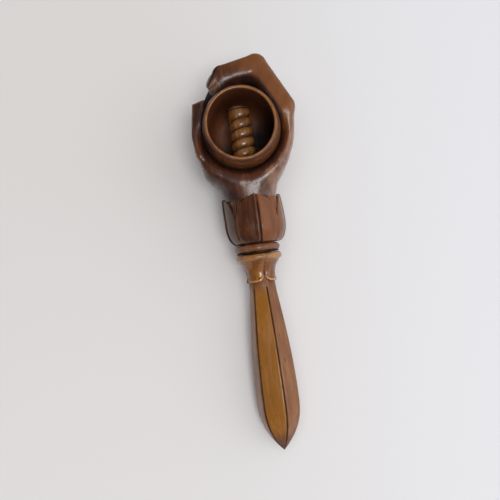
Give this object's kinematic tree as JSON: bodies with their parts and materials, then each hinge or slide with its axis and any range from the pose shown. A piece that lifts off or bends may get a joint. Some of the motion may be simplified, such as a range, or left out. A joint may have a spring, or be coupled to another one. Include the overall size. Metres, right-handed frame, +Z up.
{
  "type": "screw nutcracker",
  "caption": "Carved wooden hand nutcracker: a fist holds a round nut cup, and a wooden screw with a six-sided handle presses into it.",
  "frame": {"origin": "on the table, below the middle of the press's box as it lies at rest", "axes": "+Z up, out of the cup's mouth apart from the resting tilt; +Y from the handle's point towards the fingers; +X to the right as the cup is looked into with the fingers at the top"},
  "size_m": [0.0504, 0.1862, 0.0439],
  "materials": {
    "hand_wood": "polished dark carved wood",
    "cup_wood": "polished turned wood, worn pale on the rim",
    "cuff_wood": "polished reddish carved wood",
    "screw_wood": "worn tan wood",
    "collar_wood": "polished golden wood",
    "grip_wood": "polished golden and reddish wood"
  },
  "bodies": {
    "head": {"fist": "hand_wood", "nut_cup": "cup_wood", "petal_cuff": "cuff_wood", "cuff_ring": "cuff_wood"},
    "carrier": {"screw_nose": "screw_wood"},
    "handle": {"screw": "screw_wood", "handle_collar": "collar_wood", "handle_grip": "grip_wood"}
  },
  "joints": [
    {"name": "screw_travel", "type": "slide", "parent": "head", "child": "carrier", "axis": [0, -0.9953, -0.0969], "range_m": [-0.00016, 0.0288]},
    {"name": "screw_turn", "type": "hinge", "parent": "carrier", "child": "handle", "pos_m": [-0.00137, 0.06064, 0.02285], "axis": [0, -0.9953, -0.0969], "range_deg": [-12, 2160]}
  ],
  "couplings": [
    {"joint": "screw_travel", "follows": "screw_turn", "m_per_rad": 0.00076394}
  ]
}
